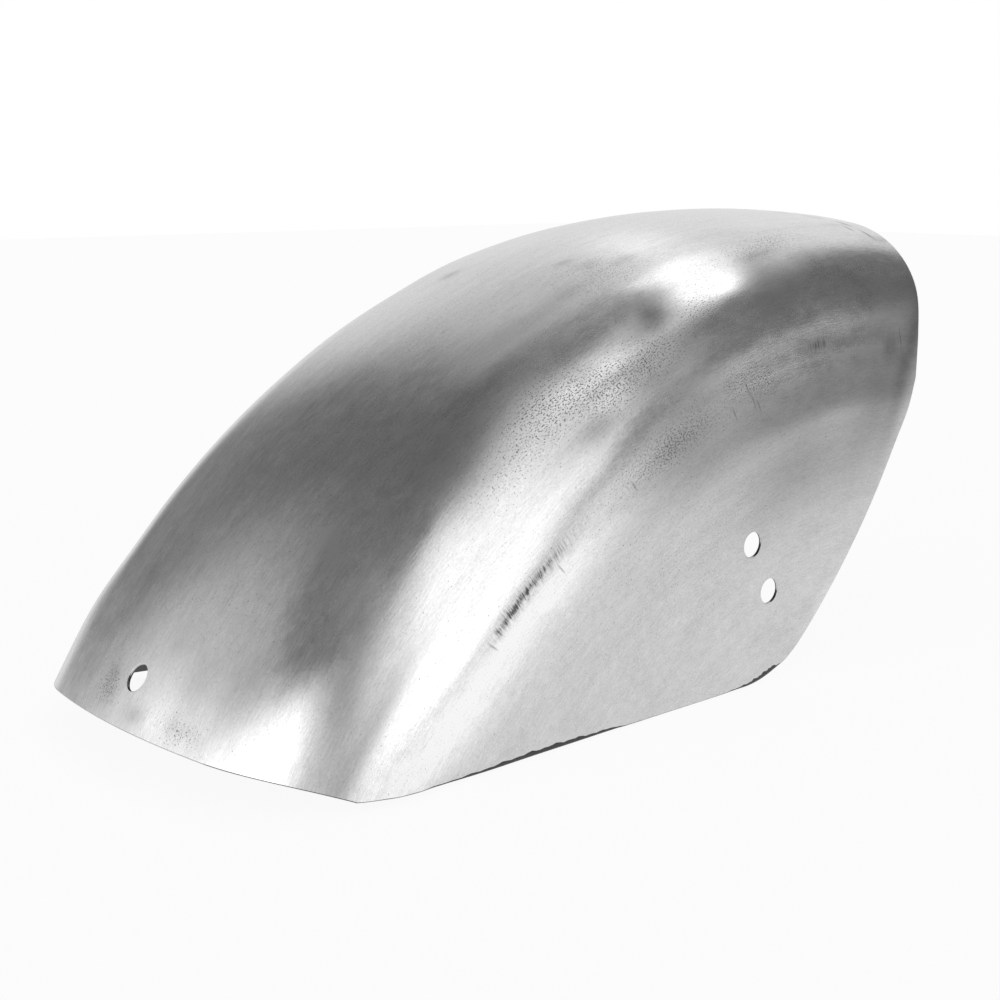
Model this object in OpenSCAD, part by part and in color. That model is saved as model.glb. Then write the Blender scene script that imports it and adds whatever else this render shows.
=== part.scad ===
// Short rear fender for a motorcycle, pressed from one sheet of steel.
// The sheet follows the wheel: a nearly flat crown, a rounded shoulder on each side, and two
// side panels that close in slightly towards the wheel. One bolt hole lies on the crown near
// the front edge, and each side panel has a pair of bolt holes near its rear end.
// The wheel axis runs along Y, -X is the front and +Z is up. The fender stands on the straight
// bottom edges of its side panels, with its origin under the middle of its box.

/* [Sheet] */
// Thickness of the steel sheet
sheet_t = 1.2; // [0.8:0.1:2.5]

/* [Section across the fender] */
// Outer radius of the crown on its centre line, measured from the wheel axis
crown_r = 357.5; // [345:0.5:375]
// Overall width over the side panels
fender_w = 178; // [165:1:205]
// Side-to-side radius of the nearly flat crown
crown_side_r = 280; // [220:5:400]
// Outer radius of the shoulder between the crown and a side panel
shoulder_r = 49; // [38:1:60]
// Angle at which a side panel closes in below its shoulder
panel_lean_deg = 2; // [0:0.5:4]

/* [Side outline] */
// Height of the straight bottom edge above the wheel axis
bottom_h = 171.8; // [160:0.2:180]
// How far the front edge on the crown lies above the straight bottom edge
front_lift = 15.5; // [12:0.5:20]
// How far the front corners lie behind the front edge on the crown
corner_back = 39.4; // [34:0.2:44]
// How far the front corners lift above the straight bottom edge
corner_lift = 3; // [1:0.5:6]
// Length over which the bottom edge rises to a front corner
toe_run = 65; // [40:5:90]
// How far the front edge bows into the sheet between the crown and a corner
front_bow = 1.2; // [0.4:0.2:3]
// Angle of the rear edge behind the vertical through the wheel axis
rear_deg = 5.8; // [3:0.1:9]
// How far the straight part of the rear edge reaches down from the crown
rear_straight = 67.5; // [55:0.5:80]
// Angle by which the curved rear edge turns forward where the straight one ends
rear_turn_deg = 14; // [11:0.5:18]
// How far in front of the wheel axis the line of the curved rear edge meets the bottom edge
rear_foot_ahead = 52.5; // [40:0.5:70]
// Radius of the rounded corner between the rear edge and the bottom edge
rear_corner_r = 50; // [30:1:70]

/* [Bolt holes] */
// Diameter of every bolt hole
hole_d = 10.3; // [8:0.1:13]
// Distance of the front hole from the front edge, along the crown
front_hole_in = 18.3; // [14:0.1:30]
// Distance of the lower side hole from the curved rear edge of its panel
side_hole_in = 33.1; // [24:0.1:60]
// Height of the lower side hole above the bottom edge
side_hole_up = 38; // [25:0.5:60]
// Distance between the two holes of a side panel
side_hole_pitch = 24; // [18:0.5:40]
// Angle at which that pair of holes leans forward
side_hole_lean_deg = 30; // [0:1:60]

/* [Hidden] */
$fn = 180;

// What a cut reaches past the sheet
over = 2;

// Angle from the top of the crown at which the crown meets a shoulder
blend_deg = asin((fender_w / 2 - shoulder_r) / (crown_side_r - shoulder_r));
// Centre of the side-to-side crown arc, as a distance from the wheel axis
crown_c = crown_r - crown_side_r;
// Centre of a shoulder arc, as distances from the wheel axis and from the middle
shoulder_c = [crown_c, 0] + (crown_side_r - shoulder_r) * [cos(blend_deg), sin(blend_deg)];

// Front edge in the side view: its end on the crown, its corner, and the arc between them
front_deg = asin((bottom_h + front_lift) / crown_r);
front_tip = crown_r * [-cos(front_deg), sin(front_deg)];
front_corner = [front_tip.x + corner_back, bottom_h + corner_lift];
front_chord = norm(front_corner - front_tip);
front_way = (front_corner - front_tip) / front_chord;
front_up = [-front_way.y, front_way.x];
front_bow_r = (pow(front_chord / 2, 2) + pow(front_bow, 2)) / (2 * front_bow);
front_bow_c = (front_tip + front_corner) / 2 - (front_bow_r - front_bow) * front_up;

// Curved rear edge in the side view, and the rounded corner below it
rear_break = (crown_r - rear_straight) * [sin(rear_deg), cos(rear_deg)];
rear_foot = [-rear_foot_ahead, bottom_h];
rear_chord = rear_foot - rear_break;
rear_in_way = [-cos(rear_deg + rear_turn_deg), sin(rear_deg + rear_turn_deg)];
rear_arc_r = rear_chord * rear_chord / (2 * rear_chord * rear_in_way);
rear_arc_c = rear_break + rear_arc_r * rear_in_way;
rear_corner_drop = rear_arc_c.y - bottom_h - rear_corner_r;
rear_corner_reach = sqrt(pow(rear_arc_r - rear_corner_r, 2) - pow(rear_corner_drop, 2));
rear_corner_c = rear_arc_c + [rear_corner_reach, -rear_corner_drop];
rear_corner_deg = -atan2(rear_corner_drop, rear_corner_reach);

// Places of the bolt holes
front_hole_deg = front_deg + front_hole_in / crown_r * 180 / PI;
side_hole_drop = rear_arc_c.y - bottom_h - side_hole_up;
side_hole_reach = sqrt(pow(rear_arc_r - side_hole_in, 2) - pow(side_hole_drop, 2));
side_hole_low = rear_arc_c + [side_hole_reach, -side_hole_drop];
side_hole_way = [-sin(side_hole_lean_deg), cos(side_hole_lean_deg)];
side_hole_high = side_hole_low + side_hole_pitch * side_hole_way;

// Place of the wheel axis once the origin is under the middle of the box
axis_place = [-(front_tip.x + crown_r * sin(rear_deg)) / 2, 0, -bottom_h];

// Turns a side view, drawn with X to the rear and Y up, upright across the width
module from_side(width) {
    rotate([90, 0, 0]) linear_extrude(width, center = true) children();
}

// Area inside the section's outer face, or inside a face that lies `inset` further in.
// X is the distance from the wheel axis, Y the distance from the middle of the fender.
module section_fill(inset, foot_r) {
    radius = shoulder_r - inset;
    panel = shoulder_c + radius * [-sin(panel_lean_deg), cos(panel_lean_deg)];
    foot_y = panel.y - (panel.x - foot_r) * tan(panel_lean_deg);
    top_y = panel.y + (crown_r - panel.x) * tan(panel_lean_deg);
    difference() {
        intersection() {
            translate([crown_c, 0]) rotate(180) circle(crown_side_r - inset);
            polygon([[foot_r, foot_y], [crown_r, top_y], [crown_r, -top_y], [foot_r, -foot_y]]);
        }
        shoulder_cut(radius);
        mirror([0, 1]) shoulder_cut(radius);
    }
}

// What a shoulder rounds off between the crown and a side panel
module shoulder_cut(radius) {
    blend_way = [cos(blend_deg), sin(blend_deg)];
    panel_way = [-sin(panel_lean_deg), cos(panel_lean_deg)];
    reach = 2 * radius;
    difference() {
        polygon([
            shoulder_c, shoulder_c + reach * blend_way,
            shoulder_c + reach * (blend_way + panel_way), shoulder_c + reach * panel_way
        ]);
        translate(shoulder_c) circle(radius);
    }
}

// Section of the sheet: crown, two shoulders and two side panels
module section() {
    difference() {
        section_fill(0, bottom_h - over);
        section_fill(sheet_t, bottom_h - 2 * over);
    }
}

// The section carried round the wheel axis, from the rear edge to just past the front edge
module wheel_arc() {
    spare_deg = 1;
    rotate([90, 0, 0])
        rotate_extrude(start = 90 - rear_deg, angle = 90 - front_deg + rear_deg + spare_deg)
            section();
}

// Points along an arc in the side view
function arc_points(centre, radius, from_deg, to_deg, steps) = [
    for (i = [0 : steps])
        let (turn = from_deg + (to_deg - from_deg) * i / steps)
            centre + radius * [cos(turn), sin(turn)]
];

// Outline of the fender in the side view. It passes clear of the crown above, and ahead of its
// front end and behind its rear end, where the section's own ends are the edges of the sheet.
module side_outline() {
    way_deg = atan2(front_up.y, front_up.x);
    half_deg = asin(front_chord / 2 / front_bow_r);
    front = arc_points(front_bow_c, front_bow_r, way_deg + 3 * half_deg, way_deg - half_deg, 16);
    toe = [
        for (i = [1 : 12])
            let (part = i / 12)
                [front_corner.x + toe_run * part, bottom_h + corner_lift * pow(1 - part, 2)]
    ];
    heel = arc_points(rear_corner_c, rear_corner_r, -90, rear_corner_deg, 16);
    rear = arc_points(rear_arc_c, rear_arc_r, rear_corner_deg, 0, 32);
    top = [[rear_arc_c.x + rear_arc_r, 2 * crown_r], [front[0].x, 2 * crown_r]];
    polygon(concat(front, toe, heel, [for (i = [1 : 32]) rear[i]], top));
}

// Bolt hole through the crown, square to the sheet
module front_hole() {
    rotate([0, front_hole_deg - 90, 0])
        translate([0, 0, crown_r - sheet_t - over])
            cylinder(h = sheet_t + 2 * over, d = hole_d);
}

// Bolt holes through both side panels
module side_holes() {
    from_side(fender_w + over) {
        for (place = [side_hole_low, side_hole_high]) {
            translate(place) circle(d = hole_d);
        }
    }
}

module fender() {
    color("#c4c5c6")
        translate(axis_place)
            difference() {
                intersection() {
                    wheel_arc();
                    from_side(fender_w + over) side_outline();
                }
                front_hole();
                side_holes();
            }
}

fender();
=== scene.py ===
# %% [markdown]
# A motorcycle's rear fender
#
# The fender is one sheet of raw steel, rolled and hammered round a wheel, drilled for its bolts
# and brushed. This lesson dresses its CAD model: it rebuilds the sheet as a dense, smooth mesh
# with the small unevenness of hand work, gives it a brushed steel finish, and lights it as a
# product in a white studio.

import math

import bpy
import numpy as np
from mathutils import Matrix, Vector
from mathutils.geometry import delaunay_2d_cdt


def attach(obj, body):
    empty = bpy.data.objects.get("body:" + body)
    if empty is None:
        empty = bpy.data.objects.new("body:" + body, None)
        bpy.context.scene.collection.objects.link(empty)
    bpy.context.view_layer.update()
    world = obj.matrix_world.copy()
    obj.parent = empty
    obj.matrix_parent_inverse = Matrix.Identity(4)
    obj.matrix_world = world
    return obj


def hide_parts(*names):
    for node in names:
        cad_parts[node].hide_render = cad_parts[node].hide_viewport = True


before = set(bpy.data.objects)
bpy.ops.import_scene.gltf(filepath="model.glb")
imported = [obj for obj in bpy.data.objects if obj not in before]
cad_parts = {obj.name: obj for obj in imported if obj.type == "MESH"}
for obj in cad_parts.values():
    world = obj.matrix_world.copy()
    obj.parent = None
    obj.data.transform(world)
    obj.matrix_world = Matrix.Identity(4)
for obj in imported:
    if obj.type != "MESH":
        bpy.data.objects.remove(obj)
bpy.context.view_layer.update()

# %% [markdown]
# The sizes of the sheet
#
# Sizes are in millimetres, measured from the wheel's axis, and become metres only when the mesh
# is made. They repeat the values of the CAD model, so that the dressed sheet lies where the
# solid one does. The wheel's axis runs along Y, -X is the front and +Z is up.

# %% The sizes
CROWN_R, CROWN_SIDE_R, SHOULDER_R = 357.5, 280.0, 49.0
WIDTH, SHEET, LEAN = 178.0, 1.2, math.radians(2)
BOTTOM, FRONT_LIFT, CORNER_BACK, CORNER_LIFT, TOE_RUN, BOW = 171.8, 15.5, 39.4, 3.0, 65.0, 1.2
REAR, REAR_STRAIGHT, REAR_TURN = math.radians(5.8), 67.5, math.radians(14)
REAR_FOOT_AHEAD, REAR_CORNER_R = 52.5, 50.0
HOLE_R, FRONT_HOLE_IN = 5.15, 18.3
SIDE_HOLE_IN, SIDE_HOLE_UP, SIDE_PITCH, SIDE_LEAN = 33.1, 38.0, 24.0, math.radians(30)

BLEND = math.asin((WIDTH / 2 - SHOULDER_R) / (CROWN_SIDE_R - SHOULDER_R))
CROWN_C = CROWN_R - CROWN_SIDE_R
SHOULDER_C = (CROWN_C + (CROWN_SIDE_R - SHOULDER_R) * math.cos(BLEND), WIDTH / 2 - SHOULDER_R)
CROWN_RUN = CROWN_SIDE_R * BLEND
PANEL_START = CROWN_RUN + SHOULDER_R * (math.pi / 2 + LEAN - BLEND)
FRONT = math.asin((BOTTOM + FRONT_LIFT) / CROWN_R)
AXIS = np.array([CROWN_R * (math.cos(FRONT) - math.sin(REAR)) / 2, 0.0, -BOTTOM])
print("from the middle line to the start of a panel:", round(PANEL_START, 1), "mm")

# %% [markdown]
# The sheet as a map
#
# A pressed sheet is easiest to describe by two numbers: how far round the wheel a point lies,
# and how far across the sheet from its middle line. The sheet could also be cut out of a solid
# with booleans, but those leave long thin faces that shine badly on bare metal. So it is drawn
# flat as a map first, and then wrapped onto the wheel.

# %% The section across the sheet
def section(across):
    """Distance from the axis and to the side, and the outward direction in those two."""
    s = np.abs(across)
    on_crown = s < CROWN_RUN
    turn = np.where(on_crown, s / CROWN_SIDE_R, BLEND + (s - CROWN_RUN) / SHOULDER_R)
    turn = np.minimum(turn, math.pi / 2 + LEAN)
    down = np.maximum(s - PANEL_START, 0.0)
    radius = np.where(on_crown, CROWN_SIDE_R, SHOULDER_R)
    high = np.where(on_crown, CROWN_C, SHOULDER_C[0]) + radius * np.cos(turn)
    side = np.where(on_crown, 0.0, SHOULDER_C[1]) + radius * np.sin(turn)
    sign = np.where(across < 0, -1.0, 1.0)
    return (high - down * math.cos(LEAN), sign * (side - down * math.sin(LEAN)),
            np.cos(turn), sign * np.sin(turn))


def across_at(high):
    """How far across the sheet a distance from the axis is reached."""
    panel_top = SHOULDER_C[0] - SHOULDER_R * math.sin(LEAN)
    crown_turn = np.arccos(np.clip((high - CROWN_C) / CROWN_SIDE_R, -1, 1))
    shoulder_turn = np.arccos(np.clip((high - SHOULDER_C[0]) / SHOULDER_R, -1, 1))
    on_crown = crown_turn * CROWN_SIDE_R
    on_shoulder = CROWN_RUN + (shoulder_turn - BLEND) * SHOULDER_R
    on_panel = PANEL_START + (panel_top - high) / math.cos(LEAN)
    shoulder_top = SHOULDER_C[0] + SHOULDER_R * math.cos(BLEND)
    return np.where(high > shoulder_top, on_crown, np.where(high > panel_top, on_shoulder, on_panel))


# %% [markdown]
# The outline in the side view
#
# Seen from the side, the sheet ends in a slightly bowed front edge, a bottom edge that rises a
# little at the front corner, a rounded rear corner, and a rear edge that is straight at the top
# and curved below. Each is laid out as points, from the front of the crown round to its rear.

# %% The outline
def arc(centre, radius, start, end, count):
    t = np.linspace(start, end, count)
    return centre + radius * np.stack([np.cos(t), np.sin(t)], 1)


def angle_of(v):
    return math.atan2(v[1], v[0])


tip = CROWN_R * np.array([-math.cos(FRONT), math.sin(FRONT)])
corner = np.array([tip[0] + CORNER_BACK, BOTTOM + CORNER_LIFT])
chord = corner - tip
bow_r = (chord @ chord / 4 + BOW ** 2) / (2 * BOW)
bow_c = (tip + corner) / 2 - (bow_r - BOW) * np.array([-chord[1], chord[0]]) / np.linalg.norm(chord)
tip_turn, corner_turn = angle_of(tip - bow_c), angle_of(corner - bow_c)
front_turns = tip_turn + (corner_turn - tip_turn) * np.linspace(0, 1, 300) ** 2
front = bow_c + bow_r * np.stack([np.cos(front_turns), np.sin(front_turns)], 1)

rear_break = (CROWN_R - REAR_STRAIGHT) * np.array([math.sin(REAR), math.cos(REAR)])
rear_in = np.array([-math.cos(REAR + REAR_TURN), math.sin(REAR + REAR_TURN)])
rear_chord = np.array([-REAR_FOOT_AHEAD, BOTTOM]) - rear_break
rear_r = rear_chord @ rear_chord / (2 * rear_chord @ rear_in)
rear_c = rear_break + rear_r * rear_in


def below_rear(inset, lift):
    """The point that lies inset from the curved rear edge and lift above the bottom edge."""
    drop = rear_c[1] - BOTTOM - lift
    return rear_c + np.array([math.sqrt((rear_r - inset) ** 2 - drop ** 2), -drop])


heel_c = below_rear(REAR_CORNER_R, REAR_CORNER_R)
rise = np.linspace(1, 0, 40)
toe = np.stack([corner[0] + TOE_RUN * (1 - rise), BOTTOM + CORNER_LIFT * rise ** 2], 1)
heel_end = angle_of(heel_c - rear_c)
heel = arc(heel_c, REAR_CORNER_R, -math.pi / 2, heel_end, 60)
straight = np.stack([np.linspace(toe[-1, 0], heel_c[0], 200), np.full(200, BOTTOM)], 1)
curve = arc(rear_c, rear_r, heel_end, angle_of(rear_break - rear_c), 90)
reach = CROWN_R - REAR_STRAIGHT * np.linspace(1, 0, 300) ** 2
back = np.stack([reach * math.sin(REAR), reach * math.cos(REAR)], 1)
lower = np.concatenate([front[-1:], toe[1:], straight[1:], heel[1:], curve[1:]])
print("rear edge radius", round(rear_r, 1), "mm")

# %% [markdown]
# Spacing the outline on the map
#
# The map counts the way round the wheel at the crown's radius. Each of the three edges of a half
# is spaced by itself, so that its corners stay sharp, and the two halves are mirror images.

# %% The outline on the map
STEP = 2.4


def to_map(points, side):
    high = np.hypot(points[:, 0], points[:, 1])
    return np.stack([CROWN_R * np.arctan2(points[:, 1], -points[:, 0]), side * across_at(high)], 1)


def respace(points, step):
    along = np.concatenate([[0], np.cumsum(np.linalg.norm(np.diff(points, axis=0), axis=1))])
    t = np.linspace(0, along[-1], max(2, round(along[-1] / step) + 1))
    return np.stack([np.interp(t, along, points[:, k]) for k in (0, 1)], 1)


def half_outline(side):
    edges = [respace(to_map(p, side), STEP) for p in (front, lower, back)]
    return np.concatenate([edges[0], edges[1][1:], edges[2][1:]])


right, left = half_outline(-1), half_outline(1)
outline = np.concatenate([right, left[::-1][1:-1]])
print("outline points", len(outline))

# %% [markdown]
# The bolt holes
#
# One hole is drilled in the crown near the front edge, and a pair in each panel near its rear
# end. They are circles in the real views, so each is drawn there and carried to the map.

# %% The holes on the map
HOLE_POINTS = 48
low_hole = below_rear(SIDE_HOLE_IN, SIDE_HOLE_UP)
high_hole = low_hole + SIDE_PITCH * np.array([-math.sin(SIDE_LEAN), math.cos(SIDE_LEAN)])
front_hole = np.array([CROWN_R * FRONT + FRONT_HOLE_IN, 0.0])


def ring(centre):
    return arc(centre, HOLE_R, 0, 2 * math.pi * (1 - 1 / HOLE_POINTS), HOLE_POINTS)


holes = [ring(front_hole)]
holes += [to_map(ring(place), side) for place in (low_hole, high_hole) for side in (-1, 1)]
print("holes at", [h.mean(0).round(1).tolist() for h in holes])

# %% [markdown]
# Filling the map with triangles
#
# A grid of points fills the map and a constrained Delaunay triangulation joins them, keeping
# every outline and hole point. That gives nearly even triangles, which take a smooth shading.

# %% The triangles
def inside(points, ring_points):
    """Which points lie inside a closed ring."""
    x, y = points[:, 0], points[:, 1]
    hits = np.zeros(len(points), int)
    for a, b in zip(ring_points, np.roll(ring_points, -1, axis=0)):
        if a[1] != b[1]:
            cross = a[0] + (y - a[1]) / (b[1] - a[1]) * (b[0] - a[0])
            hits += ((a[1] > y) != (b[1] > y)) & (x < cross)
    return hits % 2 == 1


def clear_of(points, ring_points, gap):
    near = np.full(len(points), 1e9)
    for p in ring_points:
        near = np.minimum(near, np.hypot(points[:, 0] - p[0], points[:, 1] - p[1]))
    return near > gap


low, high = outline.min(0), outline.max(0)
rows = np.arange(0, high[1] + STEP, STEP * 0.87)
rows = np.concatenate([-rows[:0:-1], rows])
grid = np.concatenate([
    np.stack([np.arange(low[0], high[0], STEP) + (i % 2) * STEP / 2,
              np.full(len(np.arange(low[0], high[0], STEP)), y)], 1)
    for i, y in enumerate(rows)
])
grid = grid[inside(grid, outline) & clear_of(grid, outline, 0.75 * STEP)]

# Where the edges are filed, the outline draws back further, so the grid keeps further away too
LOW_EDGE, REAR_CORNER_TOP, REAR_CORNER_START = 8, 45, 400
grid_z = section(grid[:, 1])[0] * np.sin(grid[:, 0] / CROWN_R) - BOTTOM
by_facet = (grid_z < LOW_EDGE) | ((grid_z < REAR_CORNER_TOP) & (grid[:, 0] > REAR_CORNER_START))
grid = grid[~by_facet | clear_of(grid, outline, 1.5 * STEP)]
for hole in holes:
    grid = grid[~inside(grid, hole) & clear_of(grid, hole, 0.6 * STEP)]

rings = [outline] + holes
points = np.concatenate(rings + [grid])
edges, start = [], 0
for loop in rings:
    edges += [(start + i, start + (i + 1) % len(loop)) for i in range(len(loop))]
    start += len(loop)
map_points, _, map_faces, *_ = delaunay_2d_cdt([Vector(p) for p in points], edges, [], 1, 1e-6)
flat = np.array([tuple(v) for v in map_points])
tris = np.array(map_faces)
middle = flat[tris].mean(1)
keep = inside(middle, outline)
for hole in holes:
    keep &= ~inside(middle, hole)
tris = tris[keep]
area2 = np.cross(flat[tris[:, 1]] - flat[tris[:, 0]], flat[tris[:, 2]] - flat[tris[:, 0]])
tris[area2 < 0] = tris[area2 < 0][:, ::-1]
print("map points", len(flat), "triangles", len(tris))

# %% [markdown]
# The unevenness of hand work
#
# The sheet was hammered and wheeled by hand, so it isn't a perfect form: low swells and hollows
# run over the crown, the shoulders and the panels, none deeper than 3 mm. Bare metal shows them at
# once, because its highlights bend with them. A noise texture could move the points too, but
# placed swells can be steered until each highlight falls where it does on the real sheet. Their
# numbers were fitted to the reflections seen from one side, so they are a likely form and not a
# measured one. Those of the shoulder and panel are mirrored to the side that wasn't seen.

# %% The swells
SWELLS = [
    # round the wheel, across, reach round, reach across and height, in mm
    (622, -98, 36, 30, 1.70), (234, -113, 30, 44, 0.52), (304, -97, 45, 14, -0.84),
    (426, -65, 21, 43, -0.10), (540, -110, 64, 23, -0.81), (543, -79, 61, 48, -0.27),
    (516, -115, 105, 16, -1.49), (445, -55, 26, 52, 0.25), (450, -113, 35, 12, -0.67),
    (265, -73, 18, 12, -0.42), (235, -69, 19, 13, 0.76), (250, -37, 25, 20, -0.38),
    (302, 20, 108, 35, -0.46), (419, 1, 138, 38, -0.20), (511, -11, 124, 26, -0.14),
    (420, -108, 117, 51, -0.13), (436, -105, 121, 29, -0.50), (499, -145, 132, 11, 1.50),
    (367, -39, 98, 13, 0.07), (304, -97, 29, 14, -0.70), (601, -150, 64, 58, 0.16),
    (216, -49, 17, 18, 0.53), (481, -70, 66, 32, 0.11), (463, -66, 69, 14, -0.33),
    (444, -56, 26, 51, 0.23), (517, -65, 54, 60, -0.09), (525, -77, 139, 18, 0.14),
    (562, -63, 16, 19, -0.07), (509, -67, 53, 56, -0.11), (424, -62, 18, 43, -0.22),
    (600, -88, 97, 30, -0.22), (288, -121, 90, 11, 0.76), (267, -121, 98, 10, 0.90),
    (381, -115, 23, 11, 0.22), (251, 2, 134, 41, -0.09), (216, -46, 104, 59, -0.11),
    (491, -66, 92, 23, 0.14), (462, -66, 78, 13, -0.20), (459, -60, 96, 33, 0.15),
    (538, -95, 25, 10, 0.11), (574, -94, 16, 34, -0.17), (556, -108, 90, 11, -0.38),
    (570, -111, 84, 12, -0.71), (481, -90, 44, 17, 0.34), (386, -69, 19, 10, 0.21),
    (347, -63, 128, 32, 0.09),
]


def unevenness(u, v):
    """Height in mm above the perfect form, at a place on the map."""
    h = 0.03 * np.sin(u / 17 + v / 23) + 0.03 * np.sin(u / 9 - v / 14 + 1)
    for at_u, at_v, run, spread, height in SWELLS:
        across = -np.abs(v) if at_v < -50 else v
        h = h + height * np.exp(-((u - at_u) / run) ** 2 - ((across - at_v) / spread) ** 2)
    return h


# %% [markdown]
# Wrapping the map onto the wheel
#
# The directions of the surface come from small differences of the wrapped position, so that they
# follow the swells as well. The mesh keeps them as its own normals.

# %% The wrap
def wrap(uv):
    """Points in mm round the wheel's axis, for places on the map."""
    u, v = uv[:, 0] / CROWN_R, uv[:, 1]
    high, side, n_high, n_side = section(v)
    lift = unevenness(uv[:, 0], v)
    high, side = high + lift * n_high, side + lift * n_side
    return np.stack([-high * np.cos(u), side, high * np.sin(u)], 1)


def outward(uv):
    d = 0.4
    du = wrap(uv + [d, 0]) - wrap(uv - [d, 0])
    dv = wrap(uv + [0, d]) - wrap(uv - [0, d])
    n = np.cross(du, dv)
    return n / np.linalg.norm(n, axis=1)[:, None]


outer, normals = wrap(flat), outward(flat)
assert normals[np.argmax(outer[:, 2])][2] > 0
print("outer size", np.ptp(outer, axis=0).round(1), "mm")

# %% [markdown]
# The edges of the sheet
#
# The sheet was sheared and its edges dressed with a file, so each edge has a small round on the
# outside. Along the bottom edge of the panels and on their rear corners the file took more off,
# which leaves a wider facet, darkened by painted shade. Every boundary point of the map gets a
# strip of faces from the outer to the inner side, and the outer boundary draws back by the width
# of its round. A bevel could round the edges too, but it has one width all along, and filing doesn't.

# %% The boundary loops
def boundary_next(triangles):
    """For each boundary point, the point that follows it, with the sheet on its left."""
    directed = np.concatenate([triangles[:, [0, 1]], triangles[:, [1, 2]], triangles[:, [2, 0]]])
    known = set(map(tuple, directed))
    return {a: b for a, b in known if (b, a) not in known}


follows = boundary_next(tris)
rim = np.array(sorted(follows))
after = np.array([follows[i] for i in rim])
before_of = {b: a for a, b in follows.items()}
before = np.array([before_of[i] for i in rim])
print("boundary points", len(rim))

along = outer[after] - outer[before]
along /= np.linalg.norm(along, axis=1)[:, None]
away = np.cross(along, normals[rim])
away /= np.linalg.norm(away, axis=1)[:, None]

# %% The dressed width of each edge
FILED = [
    # place round the wheel and width of the file's facet, in mm
    (205, 0.30), (216, 0.45), (231, 0.95), (240, 1.25), (252, 1.85), (265, 2.15), (279, 2.20),
    (292, 1.75), (299, 1.30), (304, 1.75), (309, 1.15), (313, 0.75), (320, 0.50), (345, 0.35),
    (396, 0.35), (410, 0.85), (420, 1.35), (433, 2.20), (449, 2.90), (457, 2.20), (464, 0.70),
    (470, 0.30),
]
holes_flat = np.concatenate(holes)
on_outline = np.array([clear_of(flat[i:i + 1], holes_flat, 0.05)[0] for i in rim])
u_rim, v_rim, z_rim = flat[rim, 0], flat[rim, 1], outer[rim, 2] - BOTTOM
filed = on_outline & (np.abs(v_rim) > 100) & (z_rim < 40) & (u_rim < 475)
at_u, widths = np.array(FILED).T
nicks = 1 + 0.22 * np.sin(u_rim / 1.3) * np.sin(u_rim / 4.1)
EDGE_ROUND, HOLE_ROUND = 0.30, 0.22
dress = np.where(on_outline, EDGE_ROUND, HOLE_ROUND)
dress = np.where(filed, np.interp(u_rim, at_u, widths) * nicks, dress)
# Painted shade, from 0 to 1, darkens the wider filed facets and a thin line along the front edge.
edge_painted_shade = np.where(filed, np.interp(dress, [EDGE_ROUND, 0.7], [0.55, 1.0]), 0.0)
on_front, on_corner = on_outline & (u_rim < 212), np.abs(v_rim) > 52
edge_painted_shade = np.where(on_front, np.where(on_corner, 0.85, 0.35), edge_painted_shade)
print("edge rounds from", dress.min().round(2), "to", dress.max().round(2), "mm")

# %% [markdown]
# Building the mesh
#
# Rows of points step round each edge: the outer boundary drawn back, three points on the round,
# the edge face, and the inner boundary. The inner side is the outer one moved in by the sheet's
# thickness. The normals of every corner are then set one by one.

# %% The sheet's mesh
ROUND = [
    # back from the edge, down from the outer side, and turn of the normal, each from 0 to 1
    (1.0, 0.0, 0.0), (0.95, 0.01, 0.10), (0.62, 0.13, 0.38), (0.28, 0.42, 0.78), (0.0, 1.0, 1.0),
]
count = len(flat)
body = outer.copy()
body[rim] = outer[rim] - away * dress[:, None]
inner = outer - normals * SHEET
rows_3d, row_normals = [], []
depth = np.minimum(dress * 0.9, 0.8)
for back_by, down_by, tilt in ROUND[1:]:
    drawn_back = outer[rim] - away * (dress * back_by)[:, None]
    rows_3d.append(drawn_back - normals[rim] * (depth * down_by)[:, None])
    mixed = normals[rim] * (1 - tilt) + away * tilt
    row_normals.append(mixed / np.linalg.norm(mixed, axis=1)[:, None])
rows_3d.append(inner[rim])
row_normals.append(away)

verts = np.concatenate([body, inner] + rows_3d[:-1])
order = {p: i for i, p in enumerate(rim)}
next_one = np.array([order[follows[i]] for i in rim])
round_rows = [2 * count + k * len(rim) + np.arange(len(rim)) for k in range(len(ROUND) - 1)]
levels = [rim] + round_rows + [count + rim]
level_normals = [normals[rim]] + row_normals
faces = [tuple(t) for t in tris] + [tuple(t[::-1] + count) for t in tris]
corner_normals = [normals[tris].reshape(-1, 3), -normals[tris[:, ::-1]].reshape(-1, 3)]
for k in range(len(levels) - 1):
    a, b = levels[k], levels[k + 1]
    na, nb = level_normals[k], level_normals[k + 1]
    quads = np.stack([a[next_one], a, b, b[next_one]], 1)
    faces += [tuple(q) for q in quads]
    corner_normals.append(np.stack([na[next_one], na, nb, nb[next_one]], 1).reshape(-1, 3))

mesh = bpy.data.meshes.new("fender_sheet")
mesh.from_pydata(((verts + AXIS) / 1000).tolist(), [], [tuple(int(i) for i in f) for f in faces])
mesh.normals_split_custom_set(np.concatenate(corner_normals).tolist())
sheet = bpy.data.objects.new("fender_sheet", mesh)
bpy.context.collection.objects.link(sheet)
print("triangles", sum(len(p.vertices) - 2 for p in mesh.polygons))
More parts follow.
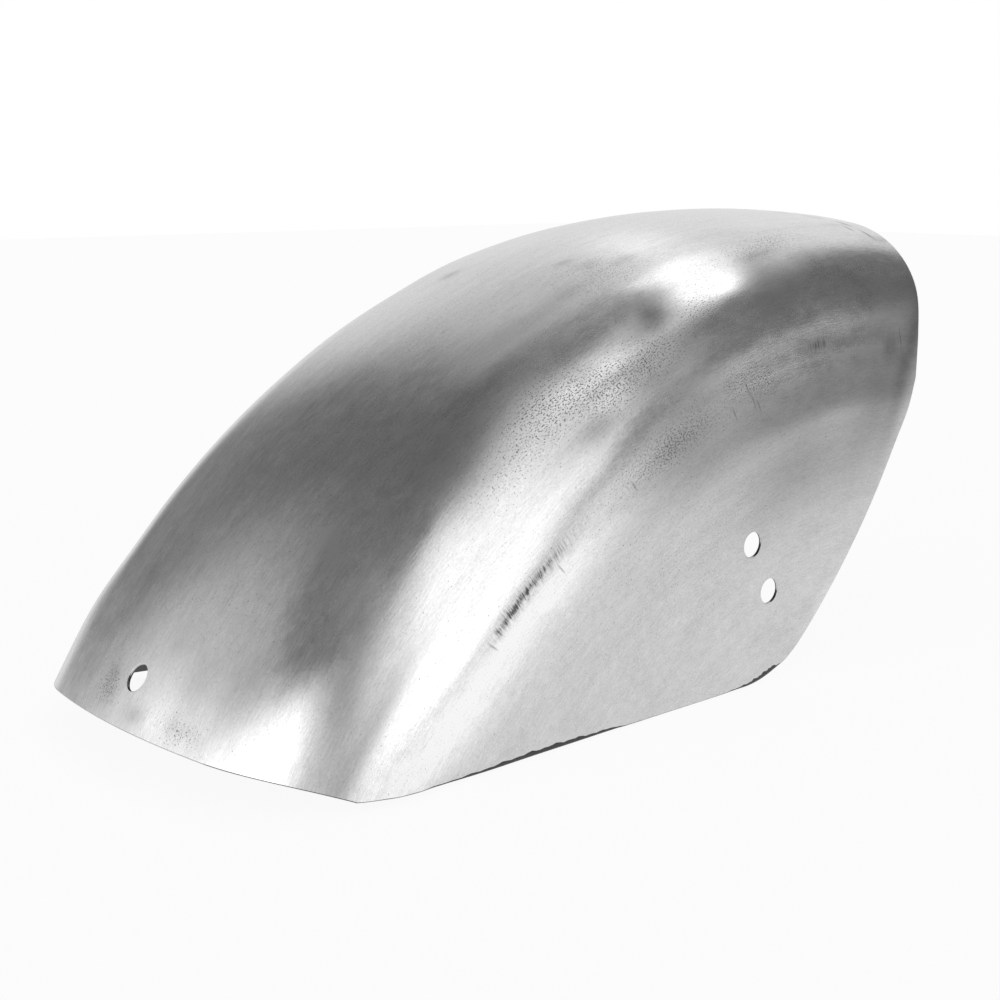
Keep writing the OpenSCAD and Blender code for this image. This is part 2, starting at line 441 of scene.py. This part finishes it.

# %% [markdown]
# Where the sheet is stained and pitted, and where light and shade are painted
#
# The finish needs to know where it is on the sheet, so each point keeps its place on the map in
# centimetres, and whether it lies on the outer or the inner side. A second attribute holds how
# stained and how pitted the steel is there, with painted highlights and painted shade mixed into
# the stains, and painted shade on the filed edges. Painted images could hold this too, but a
# short list of patches says what each mark is, and stays sharp enough for soft stains.

# %% The map, the wear and the painted light, kept on the mesh
STAINS = [
    # round the wheel, across, half length, half width in cm, turn in degrees, darkness
    (25.0, 2.8, 1.4, 0.35, 15, 0.32), (23.6, 1.6, 0.8, 0.4, 40, 0.14),
    (32.5, 4.3, 1.5, 0.25, 0, 0.20), (32.3, 0.5, 1.2, 0.5, 15, 0.08),
    (21.4, 1.5, 0.5, 0.3, 80, 0.22), (20.7, 1.2, 0.45, 0.5, 0, 0.18),
    (20.3, -0.7, 0.3, 0.45, 0, 0.22), (20.4, -1.2, 0.3, 0.3, 20, 0.16),
    (20.5, -3.0, 0.4, 0.5, 0, 0.16), (20.5, -4.0, 0.3, 0.5, 0, 0.12),
    (19.6, 3.6, 0.4, 1.0, 0, 0.12), (43.0, 3.0, 0.5, 0.3, 0, 0.25),
    (46.0, -4.2, 0.7, 0.5, 10, 0.24), (44.9, -3.3, 0.5, 0.45, 0, 0.18),
    (44.7, -2.1, 0.45, 0.25, -10, 0.26), (42.6, -4.3, 0.8, 0.5, 0, 0.14),
    (43.6, -7.0, 0.6, 0.9, 10, 0.22), (59.3, -6.8, 0.8, 0.12, 0, 0.35),
    (57.8, -5.5, 1.2, 0.10, 0, 0.25), (51.0, -6.9, 1.6, 0.25, 5, 0.16),
    (51.8, -11.35, 0.7, 0.30, 0, 0.22), (57.6, -11.9, 0.6, 0.5, 0, 0.20),
    (59.8, -12.3, 0.5, 0.8, 0, 0.12), (35.0, -6.6, 2.4, 0.7, 0, 0.08),
    (39.4, -6.9, 1.6, 0.6, 0, 0.06),
]
PAINTED_SHEEN = [
    # the same, for broad areas, fitted to the tones seen from one side: painted highlights where
    # negative, painted shade where positive. They stand partly for film and polish on the steel, and
    # partly are painted reflections of light from a source not known.
    (20.4, -2.3, 1.0, 0.9, 66, -0.19), (20.7, -7.2, 3.3, 1.9, -44, -0.30),
    (21.2, -5.5, 2.3, 0.9, 1, 0.26), (22.2, -3.2, 1.1, 0.8, 13, 0.13),
    (22.5, -9.8, 4.2, 0.4, 1, 0.42), (23.2, -1.4, 1.1, 1.0, -36, 0.14),
    (23.7, -12.0, 6.0, 1.4, -14, -0.50), (24.4, -8.3, 5.1, 0.7, 16, 0.42),
    (24.7, -6.6, 1.1, 0.9, -52, -0.34), (25.8, 4.5, 6.0, 1.4, 2, -0.49),
    (27.4, -6.8, 3.1, 0.4, -1, 0.39), (28.1, -5.2, 3.4, 2.1, 70, -0.50),
    (28.4, -5.0, 1.6, 1.0, 31, -0.18), (30.3, -7.3, 1.4, 1.2, -28, -0.30),
    (30.8, -12.7, 5.5, 0.9, -4, -0.50), (32.7, 1.6, 5.4, 3.1, 5, -0.50),
    (32.8, -7.0, 1.1, 0.7, -3, 0.34), (36.0, -2.9, 1.6, 1.4, -58, -0.29),
    (37.0, -11.3, 5.9, 1.4, 20, -0.24), (38.4, -9.6, 1.1, 0.8, -10, 0.26),
    (39.2, -9.6, 4.1, 0.6, 1, 0.34), (39.4, -7.9, 0.9, 0.6, -20, 0.31),
    (40.0, -4.6, 2.6, 1.0, -6, 0.25), (40.1, -8.8, 3.1, 2.4, -87, -0.45),
    (40.1, -8.9, 1.1, 0.7, -7, -0.20), (41.3, -12.4, 4.1, 1.9, -9, 0.40),
    (41.5, -9.7, 3.5, 0.5, 5, 0.30), (43.0, -7.8, 2.7, 0.6, 4, 0.40),
    (44.2, -6.1, 1.7, 0.5, -13, -0.35), (44.3, -7.1, 1.7, 0.7, 40, 0.31),
    (45.6, -7.2, 1.0, 0.7, -8, -0.22), (47.4, -8.5, 1.4, 0.8, 16, -0.33),
    (47.4, -3.6, 2.8, 1.6, 64, -0.38), (47.9, -8.3, 1.4, 0.7, 37, -0.38),
    (48.9, -10.6, 1.9, 4.0, 68, -0.19), (50.1, -8.0, 1.5, 2.2, -40, 0.42),
    (50.3, -15.6, 6.0, 2.3, 2, 0.40), (52.1, -21.9, 2.4, 0.4, 26, -0.18),
    (53.8, -10.5, 2.6, 0.9, -25, -0.24), (57.4, -13.0, 1.9, 4.0, -36, 0.42),
    (59.1, -8.3, 3.1, 0.7, -10, -0.33), (59.7, -10.8, 4.9, 0.7, 67, 0.42),
]
PITTING = [
    # round the wheel, across, half length, half width in cm, density
    (37.6, -7.9, 2.6, 1.1, 1.0), (39.8, -8.9, 1.8, 0.9, 1.0), (42.7, -8.8, 1.8, 0.9, 1.0),
    (46.2, -8.3, 1.4, 0.8, 0.9), (46.6, -11.6, 1.2, 0.7, 0.7), (44.8, -3.4, 2.0, 1.4, 0.6),
    (50.0, -6.6, 3.0, 0.8, 0.6), (41.0, -11.8, 5.0, 1.0, 0.5), (34.0, -8.6, 3.0, 1.0, 0.5),
    (48.2, -12.0, 0.9, 0.6, 0.9), (41.3, -12.2, 2.6, 0.6, 0.8), (52.5, -6.3, 1.6, 0.6, 0.7),
    (21.2, 1.6, 0.7, 0.6, 1.0), (42.0, -16.0, 12.0, 5.0, 0.40), (36.0, -1.0, 12.0, 5.0, 0.30),
    (44.5, -5.0, 2.5, 1.0, 0.5), (20.5, -3.4, 0.6, 1.2, 0.9), (20.6, 1.2, 0.5, 0.8, 0.8),
    (49.5, -10.3, 2.0, 0.9, 0.6), (55.0, -8.0, 3.0, 1.5, 0.3),
]


def patches(uv, table):
    """The sum of soft patches at places on the map; the last value of a row is the strength."""
    total = np.zeros(len(uv))
    for at_u, at_v, run, spread, *turn, strength in table:
        a = math.radians(turn[0]) if turn else 0.0
        du, dv = uv[:, 0] - at_u, uv[:, 1] - at_v
        along_it, across_it = du * math.cos(a) + dv * math.sin(a), dv * math.cos(a) - du * math.sin(a)
        total += strength * np.exp(-(along_it / run) ** 2 - (across_it / spread) ** 2)
    return total


rim_map = np.concatenate([flat[rim]] * (len(ROUND) - 1))
spots = np.concatenate([flat, flat, rim_map]) / 10
place = np.column_stack([spots, np.where(np.arange(len(spots)) // count == 1, 9.0, 0.0)])
# First number: the stains together with the broad painted highlights and painted shade. Second:
# pitting. Third, set below: painted shade on the filed edges.
wear_and_painted_light = np.column_stack([patches(spots, STAINS + PAINTED_SHEEN), patches(spots, PITTING), np.zeros(len(spots))])
wear_and_painted_light[2 * count:, 2] = np.tile(edge_painted_shade, len(ROUND) - 1)
for name, values in (("place", place), ("wear_and_painted_light", wear_and_painted_light)):
    mesh.attributes.new(name, "FLOAT_VECTOR", "POINT").data.foreach_set("vector", values.ravel())

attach(sheet, "root")
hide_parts("fender")
# The share counts the broad painted shade along with the stains.
print("stained over a tenth:", round(float((wear_and_painted_light[:count, 0] > 0.1).mean()), 3), "of the outer side")

# %% [markdown]
# Shader maths as expressions
#
# A finish is a small sum over textures. One class wraps a socket so that the sum can be written
# as such, and one method adds any other node.

# %% The helper for shader maths
class Val:
    """A socket of numbers. Python's operators add Math nodes."""

    def __init__(self, tree, socket):
        self.tree, self.socket = tree, socket

    def math(self, operation, *others, clamp=False):
        node = self.tree.nodes.new("ShaderNodeMath")
        node.operation, node.use_clamp = operation, clamp
        for k, value in enumerate((self, *others)):
            if isinstance(value, Val):
                self.tree.links.new(value.socket, node.inputs[k])
            else:
                node.inputs[k].default_value = value
        return Val(self.tree, node.outputs[0])

    def __add__(self, o): return self.math("ADD", o)
    def __radd__(self, o): return self.math("ADD", o)
    def __sub__(self, o): return self.math("SUBTRACT", o)
    def __rsub__(self, o): return self.math("MULTIPLY", -1.0).math("ADD", o)
    def __mul__(self, o): return self.math("MULTIPLY", o)
    def __rmul__(self, o): return self.math("MULTIPLY", o)
    def __neg__(self): return self.math("MULTIPLY", -1.0)

    def clamp(self): return self.math("ADD", 0.0, clamp=True)

    def step(self, low, high):
        """0 below low, 1 above high, smooth between."""
        node = self.tree.nodes.new("ShaderNodeMapRange")
        node.interpolation_type = "SMOOTHSTEP"
        self.tree.links.new(self.socket, node.inputs["Value"])
        node.inputs["From Min"].default_value, node.inputs["From Max"].default_value = low, high
        return Val(self.tree, node.outputs["Result"])

    def near(self, at, spread):
        """1 at a value, falling smoothly to 0 a spread away."""
        return (self - at).math("ABSOLUTE").step(spread, 0.0)


class Shader:
    """A node tree with one method for every node that isn't plain maths."""

    def __init__(self, tree):
        self.tree = tree
        tree.nodes.clear()

    def node(self, kind, settings=None, sockets=None, out=0):
        node = self.tree.nodes.new(kind)
        for key, value in (settings or {}).items():
            setattr(node, key, value)
        for key, value in (sockets or {}).items():
            if isinstance(value, Val):
                self.tree.links.new(value.socket, node.inputs[key])
            else:
                node.inputs[key].default_value = value
        return Val(self.tree, node.outputs[out]) if node.outputs else None

    def split(self, name):
        """The three numbers of a mesh attribute."""
        return self.parts(self.node("ShaderNodeAttribute", {"attribute_name": name}, out="Vector"))

    def parts(self, vector):
        return [self.node("ShaderNodeSeparateXYZ", sockets={0: vector}, out=axis) for axis in "XYZ"]

    def vector(self, x, y, z):
        return self.node("ShaderNodeCombineXYZ", sockets={0: x, 1: y, 2: z})

    def noise(self, at, detail, rough):
        """Fine noise at a vector. The vector's own scale sets its size each way."""
        return self.node("ShaderNodeTexNoise", sockets={
            "Vector": at, "Scale": 1.0, "Detail": detail, "Roughness": rough})


# %% [markdown]
# Raw brushed steel
#
# The bare sheet is grey. Its brush lines run round the wheel, so each is long that way and fine
# across. They are both seen as faint lines and felt as a shallow relief, which breaks up the
# borders of the highlights. Between them lie cloudy patches of scale and oil, and small dark
# pits. An image of steel could be wrapped on, but a procedural finish keeps its lines running
# along the sheet and stays sharp at any distance.

# %% The steel
steel = bpy.data.materials.new("raw_steel")
steel.use_nodes = True
sh = Shader(steel.node_tree)
u, v, w = sh.split("place")
# The first number mixes the stains with painted highlights and painted shade; the third is painted
# shade on the edges.
stain_and_painted_sheen, pitting, painted_edge_shade = sh.split("wear_and_painted_light")

hair = sh.noise(sh.vector(u * 1.8, v * 12, w), 3.0, 0.65)
dash = sh.noise(sh.vector(u * 7, v * 19, w), 2.0, 0.6)
brush = sh.noise(sh.vector(u * 0.25, v * 2.2, w), 3.0, 0.6)
cloud = sh.noise(sh.vector(u * 0.3, v * 0.55, w), 4.0, 0.6)
mottle = sh.noise(sh.vector(u * 1.3, v * 2.2, w), 4.0, 0.6)
speck = sh.noise(sh.vector(u * 11, v * 19, w), 1.5, 0.5)
pits = (speck + pitting * 0.14).step(0.69, 0.77)

# %% [markdown]
# Scratches
#
# A long rub runs along the right panel just below its shoulder, with a comb of short scratches
# across it. A few more short scratches stand near the rear of the panel.

# %% The scratches
SCRATCHES = [
    # round the wheel, across, half length and half width, in cm
    (28.7, -12.1, 0.40, 0.08), (29.3, -12.0, 0.35, 0.08), (46.9, -12.0, 0.50, 0.08),
    (47.1, -12.5, 0.60, 0.08), (47.4, -12.8, 0.40, 0.08), (45.7, -12.6, 0.40, 0.08),
    (53.9, -11.3, 0.30, 0.08), (58.4, -11.6, 0.70, 0.08), (38.6, -12.4, 0.30, 0.08),
    (33.3, -12.5, 0.40, 0.08), (57.7, -2.4, 0.60, 0.18), (58.1, -3.8, 0.90, 0.16),
    (58.5, -5.2, 0.70, 0.20), (58.8, -6.4, 0.60, 0.18), (58.1, -5.9, 0.40, 0.14),
]
comb = sh.noise(sh.vector((u - v * 0.1) * 9, v * 1.2, w), 4.0, 0.8).step(0.42, 0.62)
drift = v + (mottle - 0.5) * 0.15
rub_line = drift.near(-11.88, 0.20) * u.step(28.9, 30.3) * (1 - u.step(31.3, 34.2))
rub_band = drift.near(-11.90, 0.50) * u.step(27.9, 30.0) * (1 - u.step(31.5, 37.0))
rub_rear = v.near(-11.38, 0.45) * u.near(52.2, 1.25)
rub_edge = v.near(-11.9, 1.0) * u.near(57.6, 1.4)
scratches = rub_line * (0.5 + comb * 0.5) + (rub_band * 0.7 + rub_edge * 0.3) * comb
scratches = scratches + rub_rear * (0.2 + comb)
for at_u, at_v, half, wide in SCRATCHES:
    scratches = scratches + (u + (v - at_v) * 0.2).near(at_u, wide) * v.near(at_v, half) * 0.55

# The whole inner side gets painted shade: its colour is made much darker.
inner_painted_shade = w.step(4.0, 5.0)
grey = 0.62 + (cloud - 0.5) * 0.14 + (mottle - 0.5) * 0.12 + (brush - 0.5) * 0.14
grey = grey + (hair - 0.5) * 0.26 + (dash - 0.5) * 0.26
# Stains, pits and scratches darken the steel; the broad patches, the filed edges and the inner side add
# painted highlights and painted shade.
dark = (1 - stain_and_painted_sheen * (0.8 + mottle * 0.4)) * (1 - pits * 0.68) * (1 - scratches.clamp() * 0.85)
dark = dark * (1 - painted_edge_shade * 0.88) * (1 - inner_painted_shade * 0.85)
grey = (grey * dark).math("MINIMUM", 0.97)
color = sh.node("ShaderNodeCombineColor", sockets={0: grey, 1: grey, 2: grey * 1.005})
rough = 0.28 + (cloud - 0.5) * 0.10 + (mottle - 0.5) * 0.08 + pits * 0.08
rough = (rough + scratches * 0.2 + painted_edge_shade * 0.3 + stain_and_painted_sheen * 0.2).clamp()
RELIEF = 0.000026
height = hair * 0.8 + dash * 0.35 - pits * 0.2
bump = sh.node("ShaderNodeBump", sockets={"Height": height, "Strength": 1.0, "Distance": RELIEF})
shader = sh.node("ShaderNodeBsdfPrincipled", sockets={
    "Base Color": color, "Roughness": rough, "Metallic": 1.0, "Normal": bump})
sh.node("ShaderNodeOutputMaterial", sockets={0: shader})
mesh.materials.append(steel)

# %% [markdown]
# The studio
#
# The object stands on a white floor in a white studio. Bare metal shows the room more than
# itself, so the room is laid out as a product photographer would: white all round, with black
# flags that give the metal its dark bands, and a few soft panels brighter than the walls that
# give it its highlights. They are drawn into the world by direction, where each is a soft-edged
# patch with an azimuth, an elevation and a size; a flag has a negative strength. Their numbers
# were fitted to the reflections together with the swells, so this is one room that fits them.
# The camera itself sees plain white past the object, while the metal sees the room.

# %% The world
PANELS = [
    # azimuth from the photographed side, elevation, half sizes, strength, softness of the edge
    (-104, 64, 86, 25, -0.84, 10), (65, 8, 32, 17, -1.00, 9), (-159, 20, 36, 18, -0.79, 10),
    (141, 78, 57, 17, -0.75, 5), (48, 81, 44, 15, -0.94, 14), (-100, 4, 56, 28, 1.10, 11),
    (15, 12, 13, 29, 0.98, 8), (92, 58, 33, 6, 1.24, 6), (23, 52, 25, 18, 0.21, 20),
    (53, 37, 41, 12, -0.95, 8), (167, 45, 24, 10, -0.38, 15), (-24, 34, 16, 39, -0.26, 20),
]

world = bpy.data.worlds.new("studio")
world.use_nodes = True
bpy.context.scene.world = world
sky = Shader(world.node_tree)
way_x, way_y, way_z = sky.parts(sky.node("ShaderNodeTexCoord", out="Generated"))
azimuth = way_x.math("ARCTAN2", -way_y) * (180 / math.pi)
elevation = way_z.math("ARCSINE") * (180 / math.pi)
glow = None
for az, el, half_az, half_el, strength, soft in PANELS:
    turn = (azimuth - az + 540).math("MODULO", 360.0) - 180
    wide = turn.math("ABSOLUTE").step(half_az + soft, half_az - soft)
    tall = (elevation - el).math("ABSOLUTE").step(half_el + soft, half_el - soft)
    patch = wide * tall * strength
    glow = patch if glow is None else glow + patch
DARKEST = 0.16
light = (glow + 1.0).math("MAXIMUM", DARKEST)
seen = sky.node("ShaderNodeLightPath", out="Is Camera Ray")
level = light * (1 - seen) + seen
room = sky.node("ShaderNodeBackground", sockets={"Color": level, "Strength": 1.0})
sky.node("ShaderNodeOutputWorld", sockets={0: room})

# %% [markdown]
# The floor
#
# The floor is white by its own colour, and keeps a faint shadow where the fender meets it.

# %% The floor
bpy.ops.mesh.primitive_plane_add(size=8, location=(0, 0, -0.0005))
floor = bpy.context.object
floor.name = "floor"
white = bpy.data.materials.new("white_floor")
white.use_nodes = True
fl = Shader(white.node_tree)
seen = fl.node("ShaderNodeLightPath", out="Is Camera Ray")
mirrored = fl.node("ShaderNodeLightPath", out="Is Glossy Ray")
matt = fl.node("ShaderNodeBsdfDiffuse", sockets={"Color": (0.9, 0.9, 0.9, 1)})
own = fl.node("ShaderNodeEmission", sockets={"Color": (1, 1, 1, 1), "Strength": 1.0})
share = (seen + mirrored).clamp() * 0.93
mixed = fl.node("ShaderNodeMixShader", sockets={0: share, 1: matt, 2: own})
fl.node("ShaderNodeOutputMaterial", sockets={0: mixed})
floor.data.materials.append(white)

# %% [markdown]
# The camera
#
# The camera stands where the photographer's did, found by fitting the outline, the edges and the
# holes: low, in front of the right side, and 0.68 m away.

# %% The camera
camera_data = bpy.data.cameras.new("camera")
camera = bpy.data.objects.new("camera", camera_data)
bpy.context.collection.objects.link(camera)
camera_data.sensor_width, camera_data.lens = 36.0, 59.4
camera.location = (-0.42698, -0.49415, 0.20393)
heading, drop = math.radians(41.2956), math.radians(11.434)
look = Vector((math.sin(heading) * math.cos(drop), math.cos(heading) * math.cos(drop), -math.sin(drop)))
camera.rotation_mode = "QUATERNION"
camera.rotation_quaternion = look.to_track_quat("-Z", "Y")
camera_data.clip_start, camera_data.clip_end = 0.01, 50
bpy.context.scene.camera = camera
bpy.context.scene.view_settings.view_transform = "Standard"
